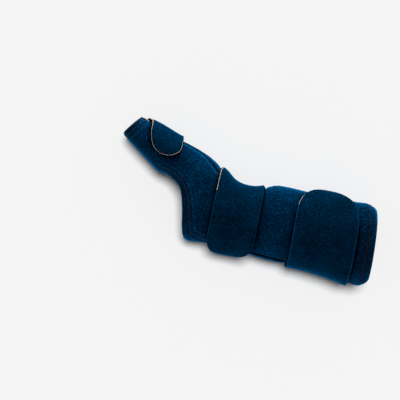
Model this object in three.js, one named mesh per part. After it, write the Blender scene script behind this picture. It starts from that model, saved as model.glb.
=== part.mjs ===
// A thumb spica splint for a right hand: a foam-laminate sleeve of two panels, sewn round the
// thumb, lapped along the little-finger side and open at the palm, with three hook-and-loop straps.
// The splint lies on its back, palm side up, with the round form that it has when it is fastened.
// Millimetres. +X runs from the hand to the cuff, +Y to the thumb side, +Z up out of the palm side.

import * as THREE from "three";

// Laminate, straps and the space that cloth keeps from cloth.
const WALL = 3;
const STRAP_WALL = 2.6;
const HOOK_WALL = 1.1;
const GAP = 0.4;

// The form from the wrist line to the cuff edge.
const FOREARM_REACH = 123.5;
const CUFF_WIDTH = 79;
const CUFF_HEIGHT = 60;

// The form round the wrist and the heel of the hand, from the wrist line to the thumb's web.
const HAND_REACH = 84;
const HAND_WIDTH = 78;
const HAND_HEIGHT = 46;

// The form of the thumb, from its web to the hem at its end.
const THUMB_REACH = 57;
const THUMB_TURN = 24;
const THUMB_WIDTH = 38;
const THUMB_HEIGHT = 34;
const THUMB_CLEARANCE = 14;

// The straps: width, where the middle of each lies, and the degrees by which it runs askew.
const WRIST_STRAP_WIDTH = 47.2;
const WRIST_STRAP_SET = 15.5;
const WRIST_STRAP_SKEW = 1.5;
const FOREARM_STRAP_WIDTH = 62;
const FOREARM_STRAP_SET = 73.5;
const FOREARM_STRAP_SKEW = 3.4;
const THUMB_STRAP_WIDTH = 31.2;
const THUMB_STRAP_SET = 12.7;
const THUMB_STRAP_SKEW = 8.4;

// How far each strap's free end stands off, the rounding of the cuff's corner, the hook pads' margin.
const WRIST_FLARE = 3.9;
const FOREARM_FLARE = 2.4;
const THUMB_FLARE = 0.6;
const THUMB_STAND = 1.6;
const CUFF_CORNER = 9;
const HOOK_MARGIN = 4;
const TIP_CUT = 83;

// A section is a rounded box: a power of 2 gives an ellipse, and a higher one a squarer form.
const SECTION_POWER = 2.3;

// The back of the sleeve, raised from the surface by the straps that pass under it.
const REST_LEVEL = STRAP_WALL + GAP;

const NAVY = 0x0d3a5c;
const NAVY_STRAP = 0x0a3252;
const HOOK_BLACK = 0x16191d;

// Sections from the thumb's hem to the cuff. along, aside and width are shares of their part's reach
// and width, rise and depth of its height, and lift of the thumb's clearance. turn is the section's
// angle from +X. open says how far in from the little-finger side the free edges stand, as a share
// of the width. The panels end round the section at angles: the palm panel at lap, the back panel
// at tuck under it, and both at seam on the thumb side. sunk says how far the back panel's edge has
// gone under the palm panel's face, 1 for clear of it. cuts is how often the cloth bends up to the
// next section.
const COLUMNS = [
  ...["along", "aside", "width", "turn", "rise", "depth", "lift"],
  ...["open", "lap", "tuck", "sunk", "seam", "cuts"],
];
const THUMB_ROWS = [
  [1.0, 0.0, 0.655, 54.7, 0.36, 0.36, 1.0, 0, 0.5, -0.5, 0, 157, 2],
  [0.765, 0.02, 0.79, 63.9, 0.41, 0.41, 0.93, 0, 0.5, -0.5, 0, 157, 2],
  [0.443, 0.046, 0.91, 67.4, 0.47, 0.45, 0.79, 0, 0.5, -0.5, 0, 156, 2],
  [0.158, 0.053, 1.02, 69.2, 0.53, 0.49, 0.6, 0, 0.5, -0.5, 0, 155, 2],
];
const HAND_ROWS = [
  [1.0, 0.55, 0.49, 66.5, 0.42, 0.37, 0.48, 0.02, 0.5, -0.5, 0, 155, 2],
  [0.9, 0.51, 0.515, 65.6, 0.455, 0.39, 0.36, 0.074, 0.5, -0.5, 0, 155, 2],
  [0.812, 0.453, 0.56, 68, 0.48, 0.405, 0.25, 0.135, 0.5, -0.5, 0, 154, 2],
  [0.762, 0.397, 0.626, 68.2, 0.49, 0.415, 0.18, 0.199, 0.5, -0.5, 0, 153, 2],
  [0.694, 0.294, 0.744, 68.1, 0.49, 0.435, 0.07, 0.244, 0.5, -0.5, 0.5, 151, 4],
  [0.614, 0.122, 0.944, 70, 0.49, 0.455, 0, 0.095, 0.5, -0.5, 1, 149, 4],
  [0.571, 0.061, 1.004, 69.8, 0.49, 0.465, -0.04, 0, 0.5, -0.5, 1, 150, 3],
  [0.381, 0.006, 0.883, 76.6, 0.485, 0.48, -0.07, 0, 8, 34, 1, 163, 3],
  [0.179, -0.01, 0.818, 84.6, 0.485, 0.49, -0.1, 0, 18, 46, 1, 179, 2],
  [0.024, -0.003, 0.824, 88, 0.51, 0.51, -0.12, 0, 25, 48, 1, 190, 1],
];
const FOREARM_ROWS = [
  [0.065, 0.005, 0.875, 90, 0.425, 0.415, -0.12, 0, 27, 50, 1, 192, 1],
  [0.146, 0.029, 0.945, 90, 0.45, 0.43, -0.12, 0, 28, 50, 1, 192, 1],
  [0.243, 0.033, 0.962, 90, 0.458, 0.44, -0.12, 0, 28, 50, 1, 192, 2],
  [0.372, 0.034, 0.955, 90, 0.458, 0.45, -0.12, 0, 26, 48, 1, 192, 2],
  [0.607, 0.035, 0.968, 90, 0.483, 0.467, -0.12, 0, 22, 44, 1, 192, 2],
  [0.81, 0.018, 1.014, 90, 0.508, 0.483, -0.12, 0, 16, 40, 1, 192, 2],
  [0.9, 0.01, 1.055, 91, 0.525, 0.5, -0.12, 0, 14, 38, 1, 192, 2],
  [1.0, 0.0, 1.0, 94.4, 0.5, 0.483, -0.1, 0, 12, 36, 1, 192, 0],
];

// A strap's ends round the section, in degrees: where it is sewn down, where its free end's tip lies,
// how far the end rounds off, how square it is, how much its sides differ, its hook pad's length and
// the pad's margin. wave is how far, in millimetres, one side bulges where the strap turns the thumb.
const WRIST_END = { sewn: 312, tip: 11, round: 47, power: 2.6, askew: 4, hook: 42, margin: 4, wave: 0 };
const FOREARM_END = { sewn: 232, tip: 524, round: 55, power: 2.1, askew: -1, hook: 50, margin: 4, wave: 0 };
const THUMB_END = { sewn: 300, tip: 85.4, round: 40, power: 2.9, askew: 12, hook: 38, margin: 4, wave: 3.4 };
const WAVE_MIDDLE = 95;
const WAVE_SPREAD = 22;

// Where the back panel has gone under the palm panel, short of the lap, and the degrees it takes.
const TURN = 360;
const UNDER_SHORT = 5;
const UNDER_SPREAD = 26;

// How many cuts the cloth has across and along it.
const PANEL_AROUND = 16;
const STRAP_ACROSS = 8;
const STRAP_AROUND = 27;
const END_AROUND = 7;

const radians = THREE.MathUtils.degToRad;
const ease = THREE.MathUtils.smoothstep;

const named = (row) => Object.fromEntries(COLUMNS.map((column, i) => [column, row[i]]));

const webMiddle = new THREE.Vector2(-HAND_REACH, named(HAND_ROWS[0]).aside * HAND_WIDTH);
const thumbOut = new THREE.Vector2(-Math.cos(radians(THUMB_TURN)), Math.sin(radians(THUMB_TURN)));
const thumbSide = new THREE.Vector2(-thumbOut.y, thumbOut.x);

// A row's shares turned into millimetres.
function sized(row, width, height, middle) {
  return {
    ...row,
    x: middle.x,
    y: middle.y,
    width: row.width * width,
    rise: row.rise * height,
    depth: row.depth * height,
    foot: REST_LEVEL + row.lift * THUMB_CLEARANCE,
  };
}

function sizedThumb(row) {
  const middle = webMiddle.clone().addScaledVector(thumbOut, row.along * THUMB_REACH);
  return sized(row, THUMB_WIDTH, THUMB_HEIGHT, middle.addScaledVector(thumbSide, row.aside * THUMB_WIDTH));
}

const sizedHand = (row) =>
  sized(row, HAND_WIDTH, HAND_HEIGHT, new THREE.Vector2(-row.along * HAND_REACH, row.aside * HAND_WIDTH));
const sizedForearm = (row) =>
  sized(row, CUFF_WIDTH, CUFF_HEIGHT, new THREE.Vector2(row.along * FOREARM_REACH, row.aside * CUFF_WIDTH));

// Adds to each section its place along the sleeve, measured through the sections' middles.
function placed(sections) {
  let reached = 0;
  return sections.map((section, i) => {
    const before = sections[Math.max(i - 1, 0)];
    reached += Math.hypot(section.x - before.x, section.y - before.y);
    return { ...section, at: reached };
  });
}

const SECTIONS = placed([
  ...THUMB_ROWS.map(named).map(sizedThumb),
  ...HAND_ROWS.map(named).map(sizedHand),
  ...FOREARM_ROWS.map(named).map(sizedForearm),
]);
const SLEEVE_LENGTH = SECTIONS.at(-1).at;

// A smooth value between rows that stand at uneven places: a cubic through each row.
function between(column, at) {
  const rows = SECTIONS;
  const last = rows.length - 1;
  let i = 0;
  while (i < last - 1 && at > rows[i + 1].at) i += 1;
  const slope = (k) => (rows[k + 1][column] - rows[k][column]) / (rows[k + 1].at - rows[k].at);
  const span = (k) => rows[k + 1].at - rows[k].at;
  const bend = (k) => {
    if (k === 0) return slope(0);
    if (k === last) return slope(last - 1);
    return (slope(k - 1) * span(k) + slope(k) * span(k - 1)) / (span(k - 1) + span(k));
  };
  const h = span(i);
  const t = (at - rows[i].at) / h;
  return (
    rows[i][column] * (1 + 2 * t) * (1 - t) ** 2 +
    rows[i + 1][column] * t * t * (3 - 2 * t) +
    bend(i) * h * t * (1 - t) ** 2 +
    bend(i + 1) * h * t * t * (t - 1)
  );
}

// Where the free edges stand, as a place across the section from -1 to 1, and as an angle round it.
const edgeShare = (at) => 2 * Math.max(between("open", at), 0) - 1;
const edgeAngle = (at) =>
  THREE.MathUtils.radToDeg(Math.acos(Math.abs(edgeShare(at)) ** (SECTION_POWER / 2)));

// A point of the sleeve's outer face. The angle is 0 on the little-finger side, 90 on the palm side,
// 180 on the thumb side and 270 on the back, which lies flat where it would sink below its rest.
function formPoint(at, angle) {
  const [cos, sin] = [Math.cos(radians(angle)), Math.sin(radians(angle))];
  const across = -Math.sign(cos) * Math.abs(cos) ** (2 / SECTION_POWER);
  const swell = Math.abs(sin) ** (2 / SECTION_POWER);
  const away = between("width", at) * (0.5 - (1 - across) / (1 - edgeShare(at)));
  const turn = radians(between("turn", at));
  const [rise, depth] = [between("rise", at), between("depth", at)];
  const height = between("foot", at) + depth + (sin >= 0 ? rise : -depth) * swell;
  return new THREE.Vector3(
    between("x", at) + Math.cos(turn) * away,
    between("y", at) + Math.sin(turn) * away,
    Math.max(height, REST_LEVEL),
  );
}

// The way out of the cloth at that point.
function formNormal(at, angle) {
  const [step, turn] = [0.5, 1.5];
  const along = formPoint(at + step, angle).sub(formPoint(at - step, angle));
  const around = formPoint(at, angle + turn).sub(formPoint(at, angle - turn));
  return around.cross(along).negate().normalize();
}

const layerPoint = (at, angle, lift) => formPoint(at, angle).addScaledVector(formNormal(at, angle), lift);

// Bends a flat cut of cloth, a closed slab, to its place. place takes the shares across, along and
// through the cloth.
function bentCloth(across, along, place) {
  const slab = new THREE.BoxGeometry(1, 1, 1, across, along, 1);
  const points = slab.getAttribute("position");
  for (let i = 0; i < points.count; i += 1) {
    const to = place(points.getX(i) + 0.5, points.getY(i) + 0.5, points.getZ(i) + 0.5);
    points.setXYZ(i, to.x, to.y, to.z);
  }
  slab.computeVertexNormals();
  return slab;
}

// Places along the sleeve where its cloth bends: every section, and even steps between.
const STATIONS = SECTIONS.flatMap(({ at, cuts }, i) => {
  const reach = SECTIONS[Math.min(i + 1, SECTIONS.length - 1)].at - at;
  return Array.from({ length: Math.max(cuts, 1) }, (_, cut) => at + (reach * cut) / Math.max(cuts, 1));
});
const stationAt = (share) => STATIONS[Math.round(share * (STATIONS.length - 1))];

// Rounds the cuff's corner on the little-finger side, as seen from the palm side.
function cuffStation(at, angle) {
  const fromSide = Math.cos(radians(angle)) > 0 ? formPoint(SLEEVE_LENGTH, 0).y : Infinity;
  const inward = Math.abs(formPoint(at, angle).y - fromSide);
  const short = Math.max(0, 1 - inward / CUFF_CORNER);
  const drawn = CUFF_CORNER * (1 - Math.sqrt(1 - short * short));
  return at - drawn * ease(at, SLEEVE_LENGTH - 3 * CUFF_CORNER, SLEEVE_LENGTH);
}

// Half of the space between the panels at the seam, in degrees.
const halfSeam = (at) => THREE.MathUtils.radToDeg(GAP / 2 / between("rise", at));

function palmPanel() {
  return bentCloth(PANEL_AROUND, STATIONS.length - 1, (across, along, through) => {
    const station = stationAt(along);
    const first = Math.max(edgeAngle(station), between("lap", station));
    const last = between("seam", station) - halfSeam(station);
    const angle = first + (last - first) * across;
    return layerPoint(cuffStation(station, angle), angle, -WALL * through);
  });
}

// The back panel leaves the outer face and goes under the palm panel before the lap.
function backPanel() {
  return bentCloth(PANEL_AROUND + 4, STATIONS.length - 1, (across, along, through) => {
    const station = stationAt(along);
    const first = between("seam", station) + halfSeam(station);
    const tuck = between("tuck", station);
    const edge = edgeAngle(station);
    const last = TURN + (edge > 0 ? Math.min(-edge, tuck) : tuck);
    const angle = last + (first - last) * across;
    const clear = Math.min(TURN + between("lap", station) - UNDER_SHORT, last);
    const under = Math.max(between("sunk", station), 0) * ease(angle, clear - UNDER_SPREAD, clear);
    const layer = WALL * (through - 1) - (WALL + GAP) * under;
    return layerPoint(cuffStation(station, angle), angle, layer);
  });
}

// The place along the sleeve where the form crosses a strap's line, at an angle round it.
function stationOn(line, offset, angle) {
  let [low, high] = [-0.2 * SLEEVE_LENGTH, 1.1 * SLEEVE_LENGTH];
  for (let i = 0; i < 40; i += 1) {
    const middle = (low + high) / 2;
    const point = formPoint(middle, angle);
    if (point.x * line.x + point.y * line.y < offset) low = middle;
    else high = middle;
  }
  return (low + high) / 2;
}

// Everything that a strap and its hook pad share. way is +1 where the strap's angle grows from its
// sewn end to its tip, and -1 where it falls. left is the degrees from a place to the tip.
function strapOf({ end, width, line, middle, flare, stand = 0 }) {
  const way = Math.sign(end.tip - end.sewn);
  const halfWidth = (left) => {
    const round = Math.max(0, 1 - left / end.round);
    return (width / 2) * (1 - round ** end.power) ** (1 / end.power);
  };
  const lift = (left) => {
    const padded = 1 - ease(left, end.hook, end.hook + 25);
    const beside = Math.max(0, -Math.cos(radians(end.tip - way * left))) ** 2;
    return GAP + (HOOK_WALL + GAP) * padded + flare * (1 - ease(left, 0, end.hook)) + stand * beside;
  };
  const place = (side, left, layer, margin = 0, marginTurn = 0) => {
    const bulge = side < 0 ? end.wave * Math.exp(-(((left - WAVE_MIDDLE) / WAVE_SPREAD) ** 2)) : 0;
    const aside = side * (Math.max(halfWidth(left - marginTurn) - margin, 0.5) + bulge);
    const offset = middle + aside;
    const askew = ((2 * aside) / width) * end.askew * Math.max(0, 1 - left / end.round);
    const angle = end.tip - way * left + askew;
    return layerPoint(stationOn(line, offset, angle), angle, layer);
  };
  return { end, way, lift, place };
}

// Cuts along a strap: even steps up to where it rounds off, and closer ones towards the tip.
function leftAt({ end, way }, share) {
  const steps = share * (STRAP_AROUND + END_AROUND);
  const whole = (end.tip - end.sewn) * way;
  if (steps <= STRAP_AROUND) return whole - ((whole - end.round) * steps) / STRAP_AROUND;
  return end.round * (1 - Math.sin(radians(((steps - STRAP_AROUND) / END_AROUND) * TIP_CUT)));
}

function strapCloth(strap) {
  return bentCloth(STRAP_ACROSS, STRAP_AROUND + END_AROUND, (across, along, through) => {
    const left = leftAt(strap, along);
    return strap.place((2 * across - 1) * strap.way, left, strap.lift(left) + STRAP_WALL * through);
  });
}

// The hook pad is sewn under the strap's free end and keeps a margin to its edge.
function hookPad(strap) {
  return bentCloth(STRAP_ACROSS - 2, END_AROUND, (across, along, through) => {
    const { hook, round, margin } = strap.end;
    const from = Math.min(hook, round + margin);
    const left = margin + (from - margin) * (1 - Math.sin(radians(along * TIP_CUT)));
    const layer = strap.lift(left) - GAP - HOOK_WALL * (1 - through);
    return strap.place((2 * across - 1) * strap.way, left, layer, HOOK_MARGIN, margin);
  });
}

const lineAt = (skew) => new THREE.Vector2(Math.cos(radians(skew)), Math.sin(radians(skew)));
const thumbLine = lineAt(THUMB_STRAP_SKEW);

const STRAPS = {
  thumb_strap: strapOf({
    end: THUMB_END,
    width: THUMB_STRAP_WIDTH,
    line: thumbLine,
    middle: thumbLine.dot(webMiddle) - THUMB_STRAP_SET,
    flare: THUMB_FLARE,
    stand: THUMB_STAND,
  }),
  wrist_strap: strapOf({
    end: WRIST_END,
    width: WRIST_STRAP_WIDTH,
    line: lineAt(WRIST_STRAP_SKEW),
    middle: -WRIST_STRAP_SET,
    flare: WRIST_FLARE,
  }),
  forearm_strap: strapOf({
    end: FOREARM_END,
    width: FOREARM_STRAP_WIDTH,
    line: lineAt(FOREARM_STRAP_SKEW),
    middle: FOREARM_STRAP_SET,
    flare: FOREARM_FLARE,
  }),
};

function cloth(name, geometry, color, roughness = 0.95) {
  const mesh = new THREE.Mesh(geometry, new THREE.MeshStandardMaterial({ color, roughness, metalness: 0 }));
  mesh.name = name;
  return mesh;
}

const splint = new THREE.Group();
splint.add(cloth("palm_panel", palmPanel(), NAVY));
splint.add(cloth("back_panel", backPanel(), NAVY));
for (const [name, strap] of Object.entries(STRAPS)) {
  splint.add(cloth(name, strapCloth(strap), NAVY_STRAP));
  splint.add(cloth(`${name}_hook`, hookPad(strap), HOOK_BLACK, 0.7));
}

// The origin is the middle of the underside.
const box = new THREE.Box3().setFromObject(splint);
const centre = box.getCenter(new THREE.Vector3());
splint.position.set(-centre.x, -centre.y, -box.min.z);

export default splint;
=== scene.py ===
# %% [markdown]
# # A thumb spica splint, dressed in its cloth
# The splint is a sleeve of foam laminate: brushed loop fabric on the outside, foam in the middle and
# a lining inside. Two panels are sewn round the thumb and lap along the little-finger side, and three
# straps with hook pads hold the sleeve shut. It lies on its back on a pale table, palm side up.

# %% Load the frame
import math

import bpy
import numpy as np
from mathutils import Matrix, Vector, noise
from mathutils.bvhtree import BVHTree
from mathutils.kdtree import KDTree


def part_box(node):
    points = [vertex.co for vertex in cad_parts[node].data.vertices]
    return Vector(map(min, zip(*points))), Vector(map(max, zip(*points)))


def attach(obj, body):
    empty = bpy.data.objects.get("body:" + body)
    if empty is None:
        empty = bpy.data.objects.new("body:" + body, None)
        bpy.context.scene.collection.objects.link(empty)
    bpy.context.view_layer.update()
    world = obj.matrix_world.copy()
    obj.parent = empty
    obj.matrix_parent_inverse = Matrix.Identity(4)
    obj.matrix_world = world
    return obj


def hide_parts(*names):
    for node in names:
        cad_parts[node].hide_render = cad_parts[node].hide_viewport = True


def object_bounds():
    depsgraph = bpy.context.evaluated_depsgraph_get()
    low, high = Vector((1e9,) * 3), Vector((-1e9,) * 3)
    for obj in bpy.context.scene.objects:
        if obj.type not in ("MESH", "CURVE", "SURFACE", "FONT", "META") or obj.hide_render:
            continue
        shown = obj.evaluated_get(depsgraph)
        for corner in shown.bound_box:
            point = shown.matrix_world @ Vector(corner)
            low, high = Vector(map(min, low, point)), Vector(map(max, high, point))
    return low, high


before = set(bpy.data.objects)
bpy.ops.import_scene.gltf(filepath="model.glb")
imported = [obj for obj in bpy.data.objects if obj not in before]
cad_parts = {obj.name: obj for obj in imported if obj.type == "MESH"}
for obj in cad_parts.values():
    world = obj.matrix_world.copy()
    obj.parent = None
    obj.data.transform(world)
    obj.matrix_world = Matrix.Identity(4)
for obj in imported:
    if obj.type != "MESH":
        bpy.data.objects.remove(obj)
cad_box = [list(corner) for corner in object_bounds()]
MM = 0.001
low, high = cad_box
print("nodes", sorted(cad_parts))
print("box in mm", [round((b - a) / MM, 1) for a, b in zip(low, high)])

# %% [markdown]
# ## Small helpers
# Colours are written as hex, the way that a paint program shows them, and Blender wants them linear.
# Every material is a chain of nodes, so one helper adds a node, sets its sockets and links it.


# %% Colours and nodes
def colour(hex_value):
    def linear(part):
        share = int(part, 16) / 255
        return share / 12.92 if share <= 0.04045 else ((share + 0.055) / 1.055) ** 2.4

    return [*(linear(hex_value[i : i + 2]) for i in (0, 2, 4)), 1.0]


def add_node(material, kind, values=(), links=(), **settings):
    node = material.node_tree.nodes.new(kind)
    for name, value in settings.items():
        setattr(node, name, value)
    for socket, value in dict(values).items():
        node.inputs[socket].default_value = value
    for socket, source in dict(links).items():
        material.node_tree.links.new(source, node.inputs[socket])
    return node


def new_material(name):
    material = bpy.data.materials.new(name)
    material.use_nodes = True
    material.node_tree.nodes.clear()
    return material


# %% [markdown]
# ## Table, camera and light
# The photograph looks straight down, so the camera hangs over the table and is turned by the 13
# degrees that the splint lies askew. A long lens keeps the sides of the sleeve hidden, as there.
# Light linking lights the table and the splint apart, because no one lamp suits both. A wide sun
# makes the table evenly white and draws the soft shadow at the lower left. A softbox lights the
# cloth from above, and small lamps near the table graze it: brushed pile lights up where light
# skims it, and that gives the flanks their brighter blue.

# %% The table
TABLE_SIZE, TABLE_DROP = 6, 0.2 * MM
bpy.ops.object.select_all(action="DESELECT")
bpy.ops.mesh.primitive_plane_add(size=TABLE_SIZE, location=(0, 0, -TABLE_DROP))
table = bpy.context.object
table.name = "table"
# Matt laminate: an even, nearly white ground that reflects nothing.
white_table = new_material("matt white laminate")
surface = add_node(
    white_table,
    "ShaderNodeBsdfPrincipled",
    {"Base Color": colour("f6f6f6"), "Roughness": 0.9},
)
add_node(white_table, "ShaderNodeOutputMaterial", links={"Surface": surface.outputs["BSDF"]})
table.data.materials.append(white_table)
print("table", TABLE_SIZE, "m wide,", TABLE_DROP / MM, "mm under the splint")

# %% Plain colours, with no film look
bpy.context.scene.view_settings.view_transform = "Standard"

# %% The camera
TURN = math.radians(13)
PICTURE = 400 * MM
DISTANCE = 1.11
SENSOR = 36
MIDDLE = (-44.4 * MM, -9.6 * MM, 30 * MM)
camera_data = bpy.data.cameras.new("camera")
camera_data.sensor_width = SENSOR
camera_data.lens = SENSOR / (PICTURE / DISTANCE)
camera = bpy.data.objects.new("camera", camera_data)
camera.location = (MIDDLE[0], MIDDLE[1], DISTANCE + MIDDLE[2])
camera.rotation_euler = (0, 0, TURN)
bpy.context.scene.collection.objects.link(camera)
bpy.context.scene.camera = camera
print("lens in mm", round(camera_data.lens, 1))


# %% The lamps
AIM = Vector((-0.02, 0, 0.03))


def add_lamp(name, kind, place, size, energy, lit):
    lamp_data = bpy.data.lights.new(name, kind)
    lamp_data.energy = energy
    if kind == "SUN":
        lamp_data.angle = size
    else:
        lamp_data.shape, lamp_data.size = "DISK", size
    lamp = bpy.data.objects.new(name, lamp_data)
    lamp.location = place
    lamp.rotation_euler = (lamp.location - AIM).to_track_quat("Z", "Y").to_euler()
    lamp.light_linking.receiver_collection = lit
    bpy.context.scene.collection.objects.link(lamp)


splint, floor = bpy.data.collections.new("splint"), bpy.data.collections.new("floor")
floor.objects.link(table)
# Each lamp has its place in metres, its size (an angle for the sun), its power and what it lights.
add_lamp("floor lamp", "SUN", (-0.02, 0.2, 1.03), 0.34, 2.72, floor)
add_lamp("softbox", "AREA", (0.05, 0.25, 0.9), 1.0, 5.2, splint)
add_lamp("upper rim lamp", "AREA", (-0.04, 0.4, 0.11), 0.16, 4.6, splint)
add_lamp("lower rim lamp", "AREA", (0.0, -0.42, 0.08), 0.16, 1.8, splint)
add_lamp("cuff lamp", "AREA", (0.5, -0.05, 0.12), 0.3, 0.9, splint)
add_lamp("hand lamp", "AREA", (-0.55, 0.0, 0.12), 0.3, 1.2, splint)
world = bpy.data.worlds.new("studio")
world.use_nodes = True
world.node_tree.nodes["Background"].inputs["Color"].default_value = colour("ffffff")
world.node_tree.nodes["Background"].inputs["Strength"].default_value = 0.14
bpy.context.scene.world = world
print("lamps", sorted(lamp.name for lamp in bpy.data.lights))

# %% [markdown]
# ## The form of the sleeve
# The worn sleeve is a row of rounded sections, from the thumb's hem over the web and the wrist to
# the cuff. Each section is a rounded box with its own width, height and turn, and a smooth curve runs
# through them. These are the sizes of the part's solids, so the cloth keeps their form. A place on the
# sleeve is its distance from the thumb's hem and an angle: 0 is the little-finger side, 90 the palm
# side, 180 the thumb side and 270 the back.

# %% Sizes in millimetres
WALL = 3
STRAP_WALL = 2.6
HOOK_WALL = 1.1
GAP = 0.4
FOREARM_REACH, CUFF_WIDTH, CUFF_HEIGHT = 123.5, 79, 60
HAND_REACH, HAND_WIDTH, HAND_HEIGHT = 84, 78, 46
THUMB_REACH, THUMB_TURN, THUMB_WIDTH, THUMB_HEIGHT = 57, 24, 38, 34
THUMB_CLEARANCE = 14
CUFF_CORNER = 9
SECTION_POWER = 2.3
REST_LEVEL = STRAP_WALL + GAP

# %% The table of sections
# Lengths are shares of the sizes above. Turns, laps, tucks and seams are angles in degrees.
COLUMNS = ["along", "aside", "width", "turn", "rise", "depth"]
COLUMNS += ["lift", "open", "lap", "tuck", "sunk", "seam"]
THUMB_ROWS = [
    [1.0, 0.0, 0.655, 54.7, 0.36, 0.36, 1.0, 0, 0.5, -0.5, 0, 157],
    [0.765, 0.02, 0.79, 63.9, 0.41, 0.41, 0.93, 0, 0.5, -0.5, 0, 157],
    [0.443, 0.046, 0.91, 67.4, 0.47, 0.45, 0.79, 0, 0.5, -0.5, 0, 156],
    [0.158, 0.053, 1.02, 69.2, 0.53, 0.49, 0.6, 0, 0.5, -0.5, 0, 155],
]
HAND_ROWS = [
    [1.0, 0.55, 0.49, 66.5, 0.42, 0.37, 0.48, 0.02, 0.5, -0.5, 0, 155],
    [0.9, 0.51, 0.515, 65.6, 0.455, 0.39, 0.36, 0.074, 0.5, -0.5, 0, 155],
    [0.812, 0.453, 0.56, 68, 0.48, 0.405, 0.25, 0.135, 0.5, -0.5, 0, 154],
    [0.762, 0.397, 0.626, 68.2, 0.49, 0.415, 0.18, 0.199, 0.5, -0.5, 0, 153],
    [0.694, 0.294, 0.744, 68.1, 0.49, 0.435, 0.07, 0.244, 0.5, -0.5, 0.5, 151],
    [0.614, 0.122, 0.944, 70, 0.49, 0.455, 0, 0.095, 0.5, -0.5, 1, 149],
    [0.571, 0.061, 1.004, 69.8, 0.49, 0.465, -0.04, 0, 0.5, -0.5, 1, 150],
    [0.381, 0.006, 0.883, 76.6, 0.485, 0.48, -0.07, 0, 8, 34, 1, 163],
    [0.179, -0.01, 0.818, 84.6, 0.485, 0.49, -0.1, 0, 18, 46, 1, 179],
    [0.024, -0.003, 0.824, 88, 0.51, 0.51, -0.12, 0, 25, 48, 1, 190],
]
FOREARM_ROWS = [
    [0.065, 0.005, 0.875, 90, 0.425, 0.415, -0.12, 0, 27, 50, 1, 192],
    [0.146, 0.029, 0.945, 90, 0.45, 0.43, -0.12, 0, 28, 50, 1, 192],
    [0.243, 0.033, 0.962, 90, 0.458, 0.44, -0.12, 0, 28, 50, 1, 192],
    [0.372, 0.034, 0.955, 90, 0.458, 0.45, -0.12, 0, 26, 48, 1, 192],
    [0.607, 0.035, 0.968, 90, 0.483, 0.467, -0.12, 0, 22, 44, 1, 192],
    [0.81, 0.018, 1.014, 90, 0.508, 0.483, -0.12, 0, 16, 40, 1, 192],
    [0.9, 0.01, 1.055, 91, 0.525, 0.5, -0.12, 0, 14, 38, 1, 192],
    [1.0, 0.0, 1.0, 94.4, 0.5, 0.483, -0.1, 0, 12, 36, 1, 192],
]


# %% Sections in millimetres
def sized(row, width, height, x, y):
    section = dict(zip(COLUMNS, row))
    section.update(x=x, y=y, width=row[2] * width, rise=row[4] * height, depth=row[5] * height)
    section["foot"] = REST_LEVEL + row[6] * THUMB_CLEARANCE
    return section


thumb_turn = math.radians(THUMB_TURN)
WEB = (-HAND_REACH, HAND_ROWS[0][1] * HAND_WIDTH)
sections = []
for row in THUMB_ROWS:
    out, side = row[0] * THUMB_REACH, row[1] * THUMB_WIDTH
    x = WEB[0] - out * math.cos(thumb_turn) - side * math.sin(thumb_turn)
    y = WEB[1] + out * math.sin(thumb_turn) - side * math.cos(thumb_turn)
    sections.append(sized(row, THUMB_WIDTH, THUMB_HEIGHT, x, y))
for rows, reach, width, height in (
    (HAND_ROWS, -HAND_REACH, HAND_WIDTH, HAND_HEIGHT),
    (FOREARM_ROWS, FOREARM_REACH, CUFF_WIDTH, CUFF_HEIGHT),
):
    sections += [sized(row, width, height, row[0] * reach, row[1] * width) for row in rows]
steps = [math.hypot(b["x"] - a["x"], b["y"] - a["y"]) for a, b in zip(sections, sections[1:])]
PLACES = np.concatenate([[0], np.cumsum(steps)])
SLEEVE_LENGTH = PLACES[-1]
print("sleeve length in mm", round(SLEEVE_LENGTH, 1))


# %% A smooth value between the sections
def between(column, at):
    at = np.asarray(at, float)
    values = np.array([section[column] for section in sections])
    spans = np.diff(PLACES)
    slopes = np.diff(values) / spans
    bends = np.empty_like(values)
    bends[0], bends[-1] = slopes[0], slopes[-1]
    bends[1:-1] = (slopes[:-1] * spans[1:] + slopes[1:] * spans[:-1]) / (spans[:-1] + spans[1:])
    i = np.clip(np.searchsorted(PLACES, at, side="left") - 1, 0, len(spans) - 1)
    h = spans[i]
    t = (at - PLACES[i]) / h
    return (
        values[i] * (1 + 2 * t) * (1 - t) ** 2
        + values[i + 1] * t * t * (3 - 2 * t)
        + bends[i] * h * t * (1 - t) ** 2
        + bends[i + 1] * h * t * t * (t - 1)
    )


def ease(value, start, end):
    t = np.clip((value - start) / (end - start), 0, 1)
    return t * t * (3 - 2 * t)


# %% A point of the outer face, and the way out of the cloth
def edge_share(at):
    return 2 * np.maximum(between("open", at), 0) - 1


def edge_angle(at):
    return np.degrees(np.arccos(np.clip(np.abs(edge_share(at)) ** (SECTION_POWER / 2), 0, 1)))


def form_point(at, angle):
    at, angle = np.broadcast_arrays(np.asarray(at, float), np.asarray(angle, float))
    cos, sin = np.cos(np.radians(angle)), np.sin(np.radians(angle))
    across = -np.sign(cos) * np.abs(cos) ** (2 / SECTION_POWER)
    swell = np.abs(sin) ** (2 / SECTION_POWER)
    away = between("width", at) * (0.5 - (1 - across) / (1 - edge_share(at)))
    turn = np.radians(between("turn", at))
    rise, depth = between("rise", at), between("depth", at)
    height = between("foot", at) + depth + np.where(sin >= 0, rise, -depth) * swell
    x = between("x", at) + np.cos(turn) * away
    y = between("y", at) + np.sin(turn) * away
    return np.stack([x, y, np.maximum(height, REST_LEVEL)], -1)


STEP_ALONG, STEP_AROUND = 0.5, 1.5


def form_normal(at, angle):
    along = form_point(at + STEP_ALONG, angle) - form_point(at - STEP_ALONG, angle)
    around = form_point(at, angle + STEP_AROUND) - form_point(at, angle - STEP_AROUND)
    normal = -np.cross(around, along)
    return normal / np.linalg.norm(normal, axis=-1, keepdims=True)


def layer_point(at, angle, lift):
    return form_point(at, angle) + form_normal(at, angle) * np.asarray(lift)[..., None]


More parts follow.
